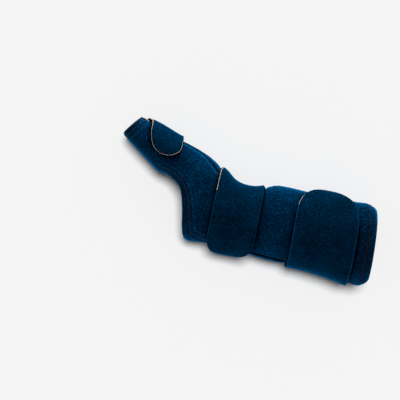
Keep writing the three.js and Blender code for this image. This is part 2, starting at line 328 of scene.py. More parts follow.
# %% The shift that puts the form on the frame's origin
SHIFT = np.array([8.77, -17.82, 0.0])
palm_low, palm_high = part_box("palm_panel")
stations = np.linspace(0, SLEEVE_LENGTH, 300)[:, None]
probe = form_point(stations, np.linspace(30, 150, 60)[None, :]) + SHIFT
print("palm panel from", round(probe[..., 0].min(), 1), "to", round(probe[..., 0].max(), 1))
print("the solid from", round(palm_low.x / MM, 1), "to", round(palm_high.x / MM, 1))

# %% [markdown]
# ## Cloth with a cut edge
# Foam laminate that is cut and left raw shows its foam: the dark face fabric ends a little before the
# pale foam does. A closed slab made from two grids of points does that. The upper grid is the face
# fabric and its border is drawn in, the lower grid is the lining, and a strip of foam closes the edge.
# Subdividing a bent box would give the same shape, but a grid lets the stitched channels be pressed
# exactly where they run. A slab has up to five finishes, one for each kind of surface it shows, and
# a point attribute of painted light: above zero it paints a highlight into the face's tone, and below
# zero it paints shade.


# %% The border of a grid, and a face drawn in from it
def border_of(rows, columns):
    index = np.arange(rows * columns).reshape(rows, columns)
    return np.concatenate([index[0, :-1], index[:-1, -1], index[-1, :0:-1], index[:0:-1, 0]])


def inward_of(grid, out, border):
    rows, columns = grid.shape[:2]
    edge, normal = grid.reshape(-1, 3)[border], out.reshape(-1, 3)[border]
    inward = np.cross(normal, np.roll(edge, -1, 0) - np.roll(edge, 1, 0))
    inward /= np.linalg.norm(inward, axis=-1, keepdims=True)
    row, column = np.clip(border // columns, 2, rows - 3), np.clip(border % columns, 2, columns - 3)
    return inward if (inward * (grid[row, column] - edge)).sum() > 0 else -inward


def drawn_in(grid, out, inset, border, inward):
    edge = grid.reshape(-1, 3)[border]
    tree = KDTree(len(edge))
    for i, point in enumerate(edge):
        tree.insert(point, i)
    tree.balance()
    found = [tree.find(point)[1:] for point in grid.reshape(-1, 3)]
    nearest, gap = np.array([i for i, _ in found]), np.array([d for _, d in found])
    width = inset.flat[border][nearest]
    share = np.maximum(0, 1 - gap / (2 * width))[:, None]
    moved = grid.reshape(-1, 3) + inward[nearest] * width[:, None] * share
    return (moved - out.reshape(-1, 3) * 0.5 * width[:, None] * share**2).reshape(grid.shape)


# %% A slab of cloth from two grids
# The fifth finish is painted shade: a near-black strip under a strap's lip and in the tuck under the
# lap.
FACE, CUT, LINED, FOLD_AND_EDGE_SHADE, PAINTED_SHADE = range(5)
FOAM_CREST = 0.65
SMOOTH_ANGLE = math.radians(50)


def cloth_slab(
    name, outer, inner, finishes, inset, edge_finish=None, face_finish=FACE, lip=0.0, raised=0.0
):
    rows, columns = outer.shape[:2]
    inset = np.broadcast_to(inset, (rows, columns))
    count = rows * columns
    out = outer - inner
    out /= np.linalg.norm(out, axis=-1, keepdims=True)
    border = border_of(rows, columns)
    inward = inward_of(outer, out, border)
    top = drawn_in(outer, out, inset, border, inward)
    middle = ((1 - FOAM_CREST) * inner + FOAM_CREST * outer).reshape(-1, 3)[border]
    foot = inner.reshape(-1, 3).copy()
    foot[border] -= inward * lip
    points = np.concatenate([top.reshape(-1, 3), foot, middle]) + SHIFT
    index = np.arange(count).reshape(rows, columns)
    quads = np.stack([index[:-1, :-1], index[:-1, 1:], index[1:, 1:], index[1:, :-1]], -1)
    quads = quads.reshape(-1, 4)
    corner = outer[:2, :2]
    facing = np.dot(np.cross(corner[0, 1] - corner[0, 0], corner[1, 0] - corner[0, 0]), out[0, 0]) > 0
    next_border = np.roll(border, -1)
    ring = 2 * count + np.arange(len(border))
    upper = np.stack([next_border, border, ring, np.roll(ring, -1)], -1)
    lower = np.stack([np.roll(ring, -1), ring, border + count, next_border + count], -1)
    faces = np.concatenate([quads, quads[:, ::-1] + count, upper, lower])
    if not facing:
        faces = faces[:, ::-1]
    mesh = bpy.data.meshes.new(name)
    mesh.from_pydata((points * MM).tolist(), [], faces.tolist())
    piece = bpy.data.objects.new(name, mesh)
    bpy.context.scene.collection.objects.link(piece)
    for finish in finishes:
        mesh.materials.append(finish)
    edges = np.full(len(border), CUT) if edge_finish is None else edge_finish.flat[border]
    faced = np.broadcast_to(face_finish, (rows, columns))[1:, 1:].ravel()
    # A strap's lip shows its lower ring, which is painted near-black as the shade under the edge.
    under = np.full(len(border), PAINTED_SHADE) if lip else edges
    chosen = np.concatenate([faced, np.full(len(quads), LINED), edges, under]).astype(int)
    mesh.polygons.foreach_set("material_index", chosen)
    # The face's points carry painted light: highlights above zero, painted shade below.
    light_paint = np.zeros(len(points))
    light_paint[:count] = np.broadcast_to(raised, (rows, columns)).ravel()
    mesh.attributes.new("raised", "FLOAT", "POINT").data.foreach_set("value", light_paint)
    mesh.update()
    bpy.ops.object.select_all(action="DESELECT")
    piece.select_set(True)
    bpy.context.view_layer.objects.active = piece
    bpy.ops.object.shade_smooth_by_angle(angle=SMOOTH_ANGLE)
    print(name, "faces", len(faces))
    return piece


def face_area(grid):
    side, end = grid[:-1, 1:] - grid[:-1, :-1], grid[1:, :-1] - grid[:-1, :-1]
    return float(np.linalg.norm(np.cross(side, end), axis=-1).sum())


# %% [markdown]
# ## Finishes
# The face fabric is brushed nylon loop: tiny loops that catch hook tape. Up close it is matt navy with
# lighter tips, and where the eye meets it at a grazing angle the pile lights up, which is what a sheen
# lobe is for. Tufts and combed streaks of noise give both the tone and the height of the pile. Wide
# patches, where the cloth wore alike, and the diagonal ribs of the knit only change the tone. All of
# them read Object coordinates, so they run on from piece to piece. A point attribute adds painted
# light: painted highlights where it is above zero and painted shade where it is below. A loop is
# about 0.3 mm and the ribs are finer than 2 mm, which can't be seen at this distance, so tufts are
# drawn at 0.6 mm and ribs at 2.15 mm.


# %% Sizes in the face fabric
# Lengths are in millimetres: tufts, worn patches, and a combed streak's length and width.
TUFT, PATCH = 0.6, 16
COMBED, WALE = 58, (2.4, 0.6, 2.4)
# At scale 1 the wave texture repeats every 2 pi / 20 units.
RIB_PITCH, WAVE_PERIOD = 2.15, 0.314
# How far each pattern changes the tone, and how far from its middle the outer two colours lie.
PATCH_SHARE, RIB_SHARE, PAINTED_LIGHT_SHARE, TONE_REACH = 0.3, 0.17, 0.4, 0.5
PILE_BUMP, PILE_HEIGHT = 0.55, 0.4
# Specks of lint sit in a few of the cells of a loose grid.
LINT_SPACING, LINT_SIZE, LINT_FROM = 2.6, 0.16, 0.93
print("ribs at", RIB_PITCH, "mm, tufts at", TUFT, "mm")


# %% Face fabric
def loop_cloth(name, deep, mid, bright, streak_share, sheen):
    cloth = new_material(name)
    place = add_node(cloth, "ShaderNodeTexCoord")
    fluff = add_node(
        cloth,
        "ShaderNodeTexNoise",
        {"Scale": 1 / (TUFT * MM), "Detail": 1.0, "Roughness": 0.5},
        {"Vector": place.outputs["Object"]},
    )
    combed = add_node(
        cloth,
        "ShaderNodeMapping",
        {"Rotation": (0, 0, math.radians(COMBED)), "Scale": [size * MM for size in WALE]},
        {"Vector": place.outputs["Object"]},
        vector_type="TEXTURE",
    )
    streaks = add_node(
        cloth,
        "ShaderNodeTexNoise",
        {"Scale": 1.0, "Detail": 1.0, "Roughness": 0.5},
        {"Vector": combed.outputs["Vector"]},
    )
    patches = add_node(
        cloth,
        "ShaderNodeTexNoise",
        {"Scale": 1 / (PATCH * MM), "Detail": 1.0, "Roughness": 0.5},
        {"Vector": place.outputs["Object"]},
    )
    height = add_node(
        cloth,
        "ShaderNodeMath",
        {1: streak_share},
        {0: streaks.outputs["Fac"], 2: fluff.outputs["Fac"]},
        operation="MULTIPLY_ADD",
    )
    ribs = add_node(
        cloth,
        "ShaderNodeTexWave",
        {
            "Scale": WAVE_PERIOD * WALE[1] / RIB_PITCH,
            "Distortion": 1.2,
            "Detail": 1.0,
            "Detail Scale": 1.0,
        },
        {"Vector": combed.outputs["Vector"]},
        bands_direction="Y",
    )
    # Painted light: this attribute lightens the tone for painted highlights and darkens it for painted
    # shade.
    light_paint = add_node(cloth, "ShaderNodeAttribute", attribute_name="raised")
    shade = height
    for weight, pattern in ((PATCH_SHARE, patches), (RIB_SHARE, ribs), (PAINTED_LIGHT_SHARE, light_paint)):
        shade = add_node(
            cloth,
            "ShaderNodeMath",
            {1: weight},
            {0: pattern.outputs["Fac"], 2: shade.outputs["Value"]},
            operation="MULTIPLY_ADD",
        )
    middle = (1 + streak_share + PATCH_SHARE + RIB_SHARE) / 2
    spread = add_node(
        cloth,
        "ShaderNodeMapRange",
        {"From Min": middle - TONE_REACH, "From Max": middle + TONE_REACH},
        {"Value": shade.outputs["Value"]},
    )
    tone = add_node(cloth, "ShaderNodeValToRGB", links={"Fac": spread.outputs["Result"]})
    ramp = tone.color_ramp
    ramp.elements[0].position, ramp.elements[0].color = 0, colour(deep)
    ramp.elements[1].position, ramp.elements[1].color = 1, colour(bright)
    ramp.elements.new(0.5).color = colour(mid)
    lint = add_node(
        cloth,
        "ShaderNodeTexVoronoi",
        {"Scale": 1 / (LINT_SPACING * MM)},
        {"Vector": place.outputs["Object"]},
    )
    speck = add_node(
        cloth,
        "ShaderNodeMath",
        {1: LINT_SIZE},
        {0: lint.outputs["Distance"]},
        operation="LESS_THAN",
    )
    chance = add_node(cloth, "ShaderNodeSeparateColor", links={"Color": lint.outputs["Color"]})
    rare = add_node(
        cloth,
        "ShaderNodeMath",
        {1: LINT_FROM},
        {0: chance.outputs["Red"]},
        operation="GREATER_THAN",
    )
    shown = add_node(
        cloth,
        "ShaderNodeMath",
        links={0: speck.outputs["Value"], 1: rare.outputs["Value"]},
        operation="MULTIPLY",
    )
    speckled = add_node(
        cloth,
        "ShaderNodeMix",
        {"B": colour("24282e")},
        {"Factor": shown.outputs["Value"], "A": tone.outputs["Color"]},
        data_type="RGBA",
    )
    pile_and_painted_light = add_node(
        cloth,
        "ShaderNodeBump",
        {"Strength": PILE_BUMP, "Distance": PILE_HEIGHT * MM},
        {"Height": height.outputs["Value"]},
    )
    surface = add_node(
        cloth,
        "ShaderNodeBsdfPrincipled",
        {
            "Roughness": 0.95,
            "Specular IOR Level": 0.0,
            "Sheen Weight": sheen,
            "Sheen Roughness": 0.35,
            "Sheen Tint": colour("009cf0"),
        },
        {"Base Color": speckled.outputs["Result"], "Normal": pile_and_painted_light.outputs["Normal"]},
    )
    add_node(cloth, "ShaderNodeOutputMaterial", links={"Surface": surface.outputs["BSDF"]})
    return cloth


# Brushed loop: matt and dark in its hollows, bluer at its tips. The straps' cloth is set darker than
# the panels', with less sheen.
panel_cloth = loop_cloth("brushed nylon loop navy panel", "000206", "001022", "003a60", 1.2, 0.8)
strap_cloth = loop_cloth("brushed nylon loop navy strap", "000206", "000f1d", "002c4c", 1.0, 0.5)


# %% Foam, lining, hook tape and thread
GRAIN_DARK, GRAIN_LIGHT, GRAIN_BUMP = 0.3, 0.7, 0.7


def grained(name, dark, light, grain, rough, bump, sheen=0.0, gloss=0.05):
    finish = new_material(name)
    place = add_node(finish, "ShaderNodeTexCoord")
    cells = add_node(
        finish,
        "ShaderNodeTexNoise",
        {"Scale": 1 / (grain * MM), "Detail": 3.0, "Roughness": 0.65},
        {"Vector": place.outputs["Object"]},
    )
    tone = add_node(finish, "ShaderNodeValToRGB", links={"Fac": cells.outputs["Fac"]})
    first, last = tone.color_ramp.elements
    first.position, first.color = GRAIN_DARK, colour(dark)
    last.position, last.color = GRAIN_LIGHT, colour(light)
    relief = add_node(
        finish,
        "ShaderNodeBump",
        {"Strength": GRAIN_BUMP, "Distance": bump * MM},
        {"Height": cells.outputs["Fac"]},
    )
    surface = add_node(
        finish,
        "ShaderNodeBsdfPrincipled",
        {
            "Roughness": rough,
            "Sheen Weight": sheen,
            "Sheen Tint": colour("00a0f0"),
            "Specular IOR Level": gloss,
        },
        {"Base Color": tone.outputs["Color"], "Normal": relief.outputs["Normal"]},
    )
    add_node(finish, "ShaderNodeOutputMaterial", links={"Surface": surface.outputs["BSDF"]})
    return finish


# Cut foam is pale and porous: it draws a thin, light line along a raw edge.
foam = grained("open-cell polyurethane foam cut edge", "7d6c64", "ab9a8e", 0.8, 0.95, 0.3)
# Brushed lining is soft and greyer than the face, and shows only inside the sleeve.
lining = grained("brushed polyester lining", "1b232c", "2c3743", 0.9, 0.95, 0.3)
# Where the face folds over an edge its pile is pressed flat: a dark rim with a faint sheen. The same
# dark finish is painted shade on the straps' raw cut edges, where no foam is shown.
fold_and_edge_shade = grained("navy fold and painted edge shade", "00060c", "001422", 0.9, 0.95, 0.3, 0.2)
# Painted shade: a nearly black finish that stands for the shadow under a lap and under a strap's lip.
painted_shade_black = grained("near-black painted shade", "000102", "000408", 0.9, 0.95, 0.3, 0.0, 0.0)
# Moulded hooks are hard and slightly shiny, with a coarse, prickly grain.
hook_nylon = grained("moulded nylon hook tape", "0a0b0d", "26282c", 1.1, 0.55, 0.8, 0.0, 0.5)
# Bonded thread is smooth and matt: dark on the seams, dark maroon at the cuff.
thread = grained("bonded polyester thread", "010101", "0b0606", 0.6, 0.8, 0.1)
maroon_thread = grained("bonded polyester thread maroon", "0c0508", "2a1418", 0.6, 0.8, 0.1)
print("finishes", sorted(material.name for material in bpy.data.materials))

# %% [markdown]
# ## The two panels
# The palm panel carries the stitched hem that runs round the hand opening, the back panel lies
# under it. Both are sewn together on the thumb side. Their grids run from the thumb's hem to the cuff
# and round the section. Stitching pulls foam cloth down into channels, and that is pressed into the
# upper grid by the distance from the edge that the seam follows. Highlights are painted between the
# rows and beside the side seam, and painted shade darkens the cloth near the cuff. The panels' edges
# are folded, so no foam shows there, and the strip of the back panel beside the lap is painted
# near-black, as the shade in the gap under the lap.


# %% Grids of the panels
def cuff_station(at, angle):
    from_side = np.where(np.cos(np.radians(angle)) > 0, form_point(SLEEVE_LENGTH, 0.0)[1], 1e6)
    inward = np.abs(form_point(at, angle)[..., 1] - from_side)
    short = np.maximum(0, 1 - inward / CUFF_CORNER)
    drawn = CUFF_CORNER * (1 - np.sqrt(1 - short * short))
    return at - drawn * ease(at, SLEEVE_LENGTH - 3 * CUFF_CORNER, SLEEVE_LENGTH)


def half_seam(at):
    return np.degrees(GAP / 2 / between("rise", at))


# %% Where each row and column of the panels lies
PANEL_ROWS, PANEL_COLUMNS = 240, 100
panel_at = np.linspace(0, SLEEVE_LENGTH, PANEL_ROWS)[:, None]
share = np.linspace(0, 1, PANEL_COLUMNS)[None, :]

palm_first = np.maximum(edge_angle(panel_at), between("lap", panel_at))
palm_last = between("seam", panel_at) - half_seam(panel_at)
palm_angle = palm_first + (palm_last - palm_first) * share
palm_at = cuff_station(panel_at, palm_angle)

back_first = between("seam", panel_at) + half_seam(panel_at)
# The back panel sinks by a wall and a gap before it slips under the lap, and dips beside its edge.
SINK_OVER, SINK_CLEAR, VALLEY_DEPTH, VALLEY_WIDTH = 26, 5, 1.4, 5
edge = edge_angle(panel_at)
tuck = between("tuck", panel_at)
back_last = 360 + np.minimum(np.where(edge > 0.01, -edge, tuck), tuck)
back_angle = back_last + (back_first - back_last) * share
lap = between("lap", panel_at)
clear = np.minimum(360 + lap - SINK_CLEAR, back_last)
under = np.maximum(between("sunk", panel_at), 0) * ease(back_angle, clear - SINK_OVER, clear)
back_at = cuff_station(panel_at, back_angle)
valley = ease(lap, 3, 12) * np.exp(-(((back_angle - 360 - lap + 2) / VALLEY_WIDTH) ** 2))
back_layer = -(WALL + GAP) * under - VALLEY_DEPTH * valley
print("points in each face of a panel", PANEL_ROWS * PANEL_COLUMNS)


# %% Distances, channels and dents
# A place's height in the picture is counted down from the top, in millimetres.
ORIGIN_DOWN = 220


def down_picture(points):
    return ORIGIN_DOWN + points[..., 0] * math.sin(TURN) - points[..., 1] * math.cos(TURN)


def distance_to(line, grid):
    nearest = np.full(grid.shape[:2], 1e9)
    for part in np.array_split(line, 40):
        gap = np.linalg.norm(grid[:, :, None] - part[None, None], axis=-1)
        nearest = np.minimum(nearest, gap.min(-1))
    return nearest


def channel(distance, place, width):
    return np.exp(-(((distance - place) / width) ** 2))


def dents(grid, size, seed):
    shape = grid.shape[:2]
    offset = Vector((seed * 13.7, seed * 7.1, seed * 3.3))
    values = [noise.noise(Vector(point) / size + offset) for point in grid.reshape(-1, 3)]
    return np.array(values).reshape(shape)


# %% How far each place is from the edges
palm_face = layer_point(palm_at, palm_angle, 0.0)
palm_normal = form_normal(palm_at, palm_angle)
back_face = layer_point(back_at, back_angle, back_layer)
back_normal = form_normal(back_at, back_angle)

hem_from_thumb = distance_to(palm_face[0], palm_face)
hem_from_palm = distance_to(palm_face[:, 0], palm_face)
from_seam = distance_to(palm_face[:, -1], palm_face)
from_cuff = distance_to(palm_face[-1], palm_face)
web_at, corner_at = PLACES[4], PLACES[10]
# The rows lie further from the hand opening's edge past the web and nearer to it past its corner.
drift = 1.8 * ease(palm_at, web_at, corner_at - 6)
drift -= 3.8 * ease(palm_at, corner_at + 4, corner_at + 16)
drift += 1.2 * np.exp(-(((palm_at - corner_at - 3) / 5) ** 2))
hem_from_side = distance_to(palm_face[:, 0, :2], palm_face[..., :2]) - drift
hem_stretch = ease(palm_at, web_at - 18, web_at - 8)
hem_stretch *= 1 - ease(palm_at, corner_at + 20, corner_at + 28)
print("hem corner at", round(corner_at, 1), "of", round(SLEEVE_LENGTH, 1), "mm")


# %% Pressed channels and soft dents
END_ROWS, SIDE_ROWS, CUFF_ROW = (3.4, 7.2), (4.0, 7.3), 8.0
ROW_DEPTH = 0.35


def hem_relief(from_end, from_side, from_back_seam, from_cuff_end, stretch):
    relief = -ROW_DEPTH * (channel(from_end, END_ROWS[0], 0.9) + channel(from_end, END_ROWS[1], 1.0))
    relief += 0.3 * channel(from_end, 10.4, 1.8)
    relief -= ROW_DEPTH * stretch * sum(channel(from_side, row, 0.9) for row in SIDE_ROWS)
    relief += 0.25 * channel(from_back_seam, 3.2, 1.5) - 0.2 * channel(from_back_seam, 6.5, 1.5)
    relief -= 0.3 * channel(from_cuff_end, CUFF_ROW, 0.9)
    return relief


between_straps = ease(palm_face[..., 0], 9, 14) * (1 - ease(palm_face[..., 0], 38, 43))
palm_relief = hem_relief(hem_from_thumb, hem_from_side, from_seam, from_cuff, hem_stretch)
palm_relief += 0.3 * (dents(palm_face, 24, 1) - 0.4) + 0.12 * dents(palm_face, 7, 2)
palm_relief += 0.7 * between_straps * channel(hem_from_palm, 0, 2.2) * ease(palm_first, 3, 12)
palm_outer = palm_face + palm_normal * palm_relief[..., None]
palm_inner = layer_point(palm_at, palm_angle, -WALL)

back_relief = hem_relief(
    distance_to(back_face[0], back_face),
    np.full(back_face.shape[:2], 99.0),
    distance_to(back_face[:, -1], back_face),
    distance_to(back_face[-1], back_face),
    0.0,
)
back_relief += 0.2 * (dents(back_face, 24, 3) - 0.4) + 0.1 * dents(back_face, 7, 4)
back_outer = back_face + back_normal * np.minimum(back_relief, 0.3)[..., None]
back_inner = layer_point(back_at, back_angle, back_layer - WALL)
print("relief in mm from", round(palm_relief.min(), 2), "to", round(palm_relief.max(), 2))


# %% Painted highlights along the stitched rows and the side seam, painted shade near the cuff
def painted_light_of(from_end, from_side, from_back_seam, from_cuff_end, stretch):
    # Painted highlights between the hem rows and beside the side seam; painted shade at the opening's
    # edge and near the cuff.
    pile_and_painted_light = 0.5 * channel(from_end, 5.3, 1.1) + 0.4 * channel(from_end, 10.0, 1.5)
    pile_and_painted_light += stretch * (0.45 * channel(from_side, 5.6, 1.0) - 0.1 * channel(from_side, 0.8, 1.6))
    pile_and_painted_light += 0.35 * stretch * channel(from_side, 9.3, 1.2) + 0.7 * channel(from_back_seam, 3.0, 1.6)
    return pile_and_painted_light - 0.25 * channel(from_cuff_end, 7, 6)


palm_painted_light = painted_light_of(hem_from_thumb, hem_from_side, from_seam, from_cuff, hem_stretch)
print("pile raised from", round(palm_painted_light.min(), 2), "to", round(palm_painted_light.max(), 2))

# %% The palm panel
SIDE_INSET, END_INSET, OPEN_INSET, LAP_SHADE_INSET = 0.5, 1.2, 0.9, 0.4
laminate = [panel_cloth, foam, lining, fold_and_edge_shade, painted_shade_black]
palm_inset = np.full(palm_face.shape[:2], SIDE_INSET)
palm_inset[0], palm_inset[-1] = END_INSET, END_INSET
# Between the straps the dark rim at the lap is drawn wider, as painted shade for the gap under its
# edge.
palm_inset[:, 0] = OPEN_INSET + LAP_SHADE_INSET * between_straps[:, 0]
palm_panel = cloth_slab(
    "palm_panel_cloth",
    palm_outer,
    palm_inner,
    laminate,
    palm_inset,
    np.full(palm_face.shape[:2], FOLD_AND_EDGE_SHADE),
    raised=palm_painted_light,
)
print("palm panel in cm2", round(face_area(palm_face) / 100))

# %% The back panel, with painted shade in its tuck
BACK_INSET = 0.6
# Painted shade: the back panel's strip just past the lap's edge takes the near-black finish.
TUCK_SHADE_REACH, LEAST_LAP, TUCK_FROM = 2.1, 3, 364
past_lap = down_picture(back_face) - down_picture(form_point(panel_at, lap))
painted_tuck_shade = (past_lap < TUCK_SHADE_REACH) & (lap > LEAST_LAP) & (back_angle > TUCK_FROM)
back_panel = cloth_slab(
    "back_panel_cloth",
    back_outer,
    back_inner,
    laminate,
    BACK_INSET,
    np.full(back_face.shape[:2], FOLD_AND_EDGE_SHADE),
    np.where(painted_tuck_shade, PAINTED_SHADE, FACE),
)
print("back panel in cm2", round(face_area(back_face) / 100))

# %% [markdown]
# ## The straps and their hook tape
# Each strap is sewn down on the back, goes round the sleeve and ends in a tongue on the palm side.
# Under the tongue sits a piece of hook tape. A strap lies on the form that the sleeve has, a little
# above it, and its edges keep straight across it, so every point is found where the form crosses
# the strap's straight line. A strap is cut and left raw. Its lining stands a little past its face, as
# a lip, and the lip is painted near-black as the shade under the edge. The pale foam shows only along
# the stretches of edge listed for each strap; elsewhere the cut edge is painted dark navy, as shade,
# and along a few stretches a highlight is painted.

# %% The straps' places
WRIST_STRAP_WIDTH, WRIST_STRAP_SET, WRIST_STRAP_SKEW = 47.2, 15.5, 1.5
FOREARM_STRAP_WIDTH, FOREARM_STRAP_SET, FOREARM_STRAP_SKEW = 62, 73.5, 3.4
THUMB_STRAP_WIDTH, THUMB_STRAP_SET, THUMB_STRAP_SKEW = 31.2, 12.7, 8.4
HOOK_MARGIN = 4
TIP_CUT = 85
LINING_LIP = 0.7


def line_at(skew):
    return np.array([math.cos(math.radians(skew)), math.sin(math.radians(skew))])


thumb_line = line_at(THUMB_STRAP_SKEW)
# sewn and tip are the angles of its two ends. round, power and askew give the free end its curve, and
# hook is the length of its hook tape. width, line and middle place it on the sleeve. flare and stand
# lift its free end and its side off the sleeve, and waves bend its first edge, the one away from the
# cuff: how far, where, how wide. pale says how far down the picture its foam shows (first edge, other
# edge, free end); outside it the cut edge is painted dark navy, as shade. lit says where a highlight
# is painted along those two edges.
STRAPS = {
    "thumb": dict(
        sewn=300,
        tip=85.4,
        round=40,
        power=2.9,
        askew=12,
        hook=38,
        width=THUMB_STRAP_WIDTH,
        line=thumb_line,
        middle=float(thumb_line @ WEB) - THUMB_STRAP_SET,
        flare=0.6,
        stand=1.6,
        waves=[(3.4, 95, 22), (1.5, 100, 9)],
        pale=[(0, 260), (142, 260), (0, 260)],
        lit=[(0, 0), (0, 0)],
    ),
    "wrist": dict(
        sewn=312,
        tip=11,
        round=47,
        power=2.6,
        askew=4,
        hook=42,
        width=WRIST_STRAP_WIDTH,
        line=line_at(WRIST_STRAP_SKEW),
        middle=-WRIST_STRAP_SET,
        flare=3.9,
        stand=0,
        waves=[(-2.0, 166, 14)],
        pale=[(0, 190), (0, 0), (0, 0)],
        lit=[(190, 246), (0, 0)],
    ),
    "forearm": dict(
        sewn=232,
        tip=524,
        round=55,
        power=2.1,
        askew=-1,
        hook=50,
        width=FOREARM_STRAP_WIDTH,
        line=line_at(FOREARM_STRAP_SKEW),
        middle=FOREARM_STRAP_SET,
        flare=2.4,
        stand=0,
        waves=[],
        pale=[(190, 203), (0, 0), (0, 0)],
        lit=[(203, 262), (204, 282)],
    ),
}
print("strap widths in mm", {name: strap["width"] for name, strap in STRAPS.items()})


# %% Points of a strap
HOOK_FADE = 25
HUG_FROM, HUG_TO = 66, 86
HALVINGS = 30


def station_on(line, offset, angle):
    offset, angle = np.broadcast_arrays(offset, angle)
    low_at = np.full(angle.shape, -0.2 * SLEEVE_LENGTH)
    high_at = np.full(angle.shape, 1.1 * SLEEVE_LENGTH)
    for _ in range(HALVINGS):
        half = (low_at + high_at) / 2
        short = form_point(half, angle)[..., :2] @ line < offset
        low_at, high_at = np.where(short, half, low_at), np.where(short, high_at, half)
    return (low_at + high_at) / 2


def strap_lift(strap, left, side=0.0):
    way = math.copysign(1, strap["tip"] - strap["sewn"])
    padded = 1 - ease(left, strap["hook"], strap["hook"] + HOOK_FADE)
    beside = np.maximum(0, -np.cos(np.radians(strap["tip"] - way * left))) ** 2
    flare = strap["flare"] * (1 - ease(left, 0, strap["hook"]))
    # From here on, the edge nearer to the thumb's hem lies close on the panel.
    hug = ease(left, HUG_FROM, HUG_TO) * ease(-side, 0.2, 1)
    return GAP + (HOOK_WALL + GAP) * padded + flare + strap["stand"] * beside * (1 - hug)


def strap_places(strap, side, left, margin=0.0):
    way = math.copysign(1, strap["tip"] - strap["sewn"])
    rounding = np.maximum(0, 1 - (left - margin) / strap["round"])
    half = strap["width"] / 2 * (1 - rounding ** strap["power"]) ** (1 / strap["power"])
    bulge = np.zeros_like(left + side)
    for amount, place, spread in strap["waves"]:
        bulge += np.where(side < 0, amount * np.exp(-(((left - place) / spread) ** 2)), 0)
    aside = side * (np.maximum(half - margin, 0.5) + bulge)
    askew = 2 * aside / strap["width"] * strap["askew"] * np.maximum(0, 1 - left / strap["round"])
    angle = strap["tip"] - way * left + askew
    return station_on(strap["line"], strap["middle"] + aside, angle), angle


# %% Where a strap's cut edge shows its foam, where it is painted dark as shade, and where a highlight is painted
CUT_INSET, PALE_INSET = 0.2, 0.15


def within(down, span):
    return (down > span[0]) & (down < span[1])


def cut_edges(strap, outer):
    down = down_picture(outer)
    shown, raised = np.zeros(outer.shape[:2], bool), np.zeros(outer.shape[:2])
    shown[-1] = within(down[-1], strap["pale"][2])
    for column, pale, lit in zip((0, -1), strap["pale"], strap["lit"]):
        shown[:, column] = within(down[:, column], pale)
        raised[:, column] = within(down[:, column], lit)
    # Outside the pale spans the cut edge takes the dark edge finish as painted shade; the lit spans
    # carry a painted highlight.
    return np.where(shown, CUT, FOLD_AND_EDGE_SHADE), CUT_INSET + PALE_INSET * shown, raised


# %% The straps and hook tapes
STRAP_ROWS, TIP_ROWS, STRAP_COLUMNS = 150, 40, 44
HOOK_ROWS, HOOK_COLUMNS, HOOK_TIP_CUT, HOOK_INSET = 40, 30, 83, 0.15
strap_finishes = [strap_cloth, foam, lining, fold_and_edge_shade, painted_shade_black]
strap_pieces, hook_pieces, strap_grids, hook_grids = {}, {}, {}, {}
for name, strap in STRAPS.items():
    whole = abs(strap["tip"] - strap["sewn"])
    body = np.linspace(whole, strap["round"], STRAP_ROWS, endpoint=False)
    tip = strap["round"] * (1 - np.sin(np.radians(np.linspace(0, TIP_CUT, TIP_ROWS))))
    left = np.concatenate([body, tip])[:, None]
    side = np.linspace(-1, 1, STRAP_COLUMNS)[None, :]
    at, angle = strap_places(strap, side, left)
    lift = strap_lift(strap, left, side) + np.zeros_like(angle)
    inner = layer_point(at, angle, lift)
    rough = 0.1 * dents(inner, 9, 5)
    outer = layer_point(at, angle, lift + STRAP_WALL + rough - 0.1)
    strap_grids[name] = (outer, inner, angle)
    edges, inset, raised = cut_edges(strap, outer)
    strap_pieces[name] = cloth_slab(
        f"{name}_strap_cloth",
        outer,
        inner,
        strap_finishes,
        inset,
        edges,
        lip=LINING_LIP,
        raised=raised,
    )
    start = min(strap["hook"], strap["round"] + HOOK_MARGIN)
    tip = 1 - np.sin(np.radians(np.linspace(0, HOOK_TIP_CUT, HOOK_ROWS)))
    left = HOOK_MARGIN + (start - HOOK_MARGIN) * tip[:, None]
    side = np.linspace(-1, 1, HOOK_COLUMNS)[None, :]
    at, angle = strap_places(strap, side, left, HOOK_MARGIN)
    layer = strap_lift(strap, left) - GAP + np.zeros_like(angle)
    face, foot = layer_point(at, angle, layer - HOOK_WALL), layer_point(at, angle, layer)
    hook_grids[name] = foot
    hook_pieces[name] = cloth_slab(f"{name}_hook_tape", face, foot, [hook_nylon] * 3, HOOK_INSET)

# %% [markdown]
# ## Where a strap presses
# A strap under tension sinks into soft foam laminate, and the panel beside it is painted darker, as
# the shade along the strap's edge. A cloth simulation could show the dent too, but a formula puts it
# just along the edge. The panels are pressed in by up to 1 mm close to a strap's edge, and painted
# shade darkens them for a few more millimetres. They aren't pressed at the thumb strap's upper
# corner, where a gap would open.

# %% The edges of the straps
borders = [inner.reshape(-1, 3)[border_of(*inner.shape[:2])] for _, inner, _ in strap_grids.values()]
strap_edges = KDTree(sum(len(border) for border in borders))
for point in np.concatenate(borders):
    strap_edges.insert((point + SHIFT) * MM, 0)
strap_edges.balance()
CORNER_ANGLE = 185
outer, _, angle = strap_grids["thumb"]
thumb_corner = Vector((outer[np.abs(angle[:, 0] - CORNER_ANGLE).argmin(), 0] + SHIFT) * MM)
print("thumb strap's corner at", [round(part, 4) for part in thumb_corner])

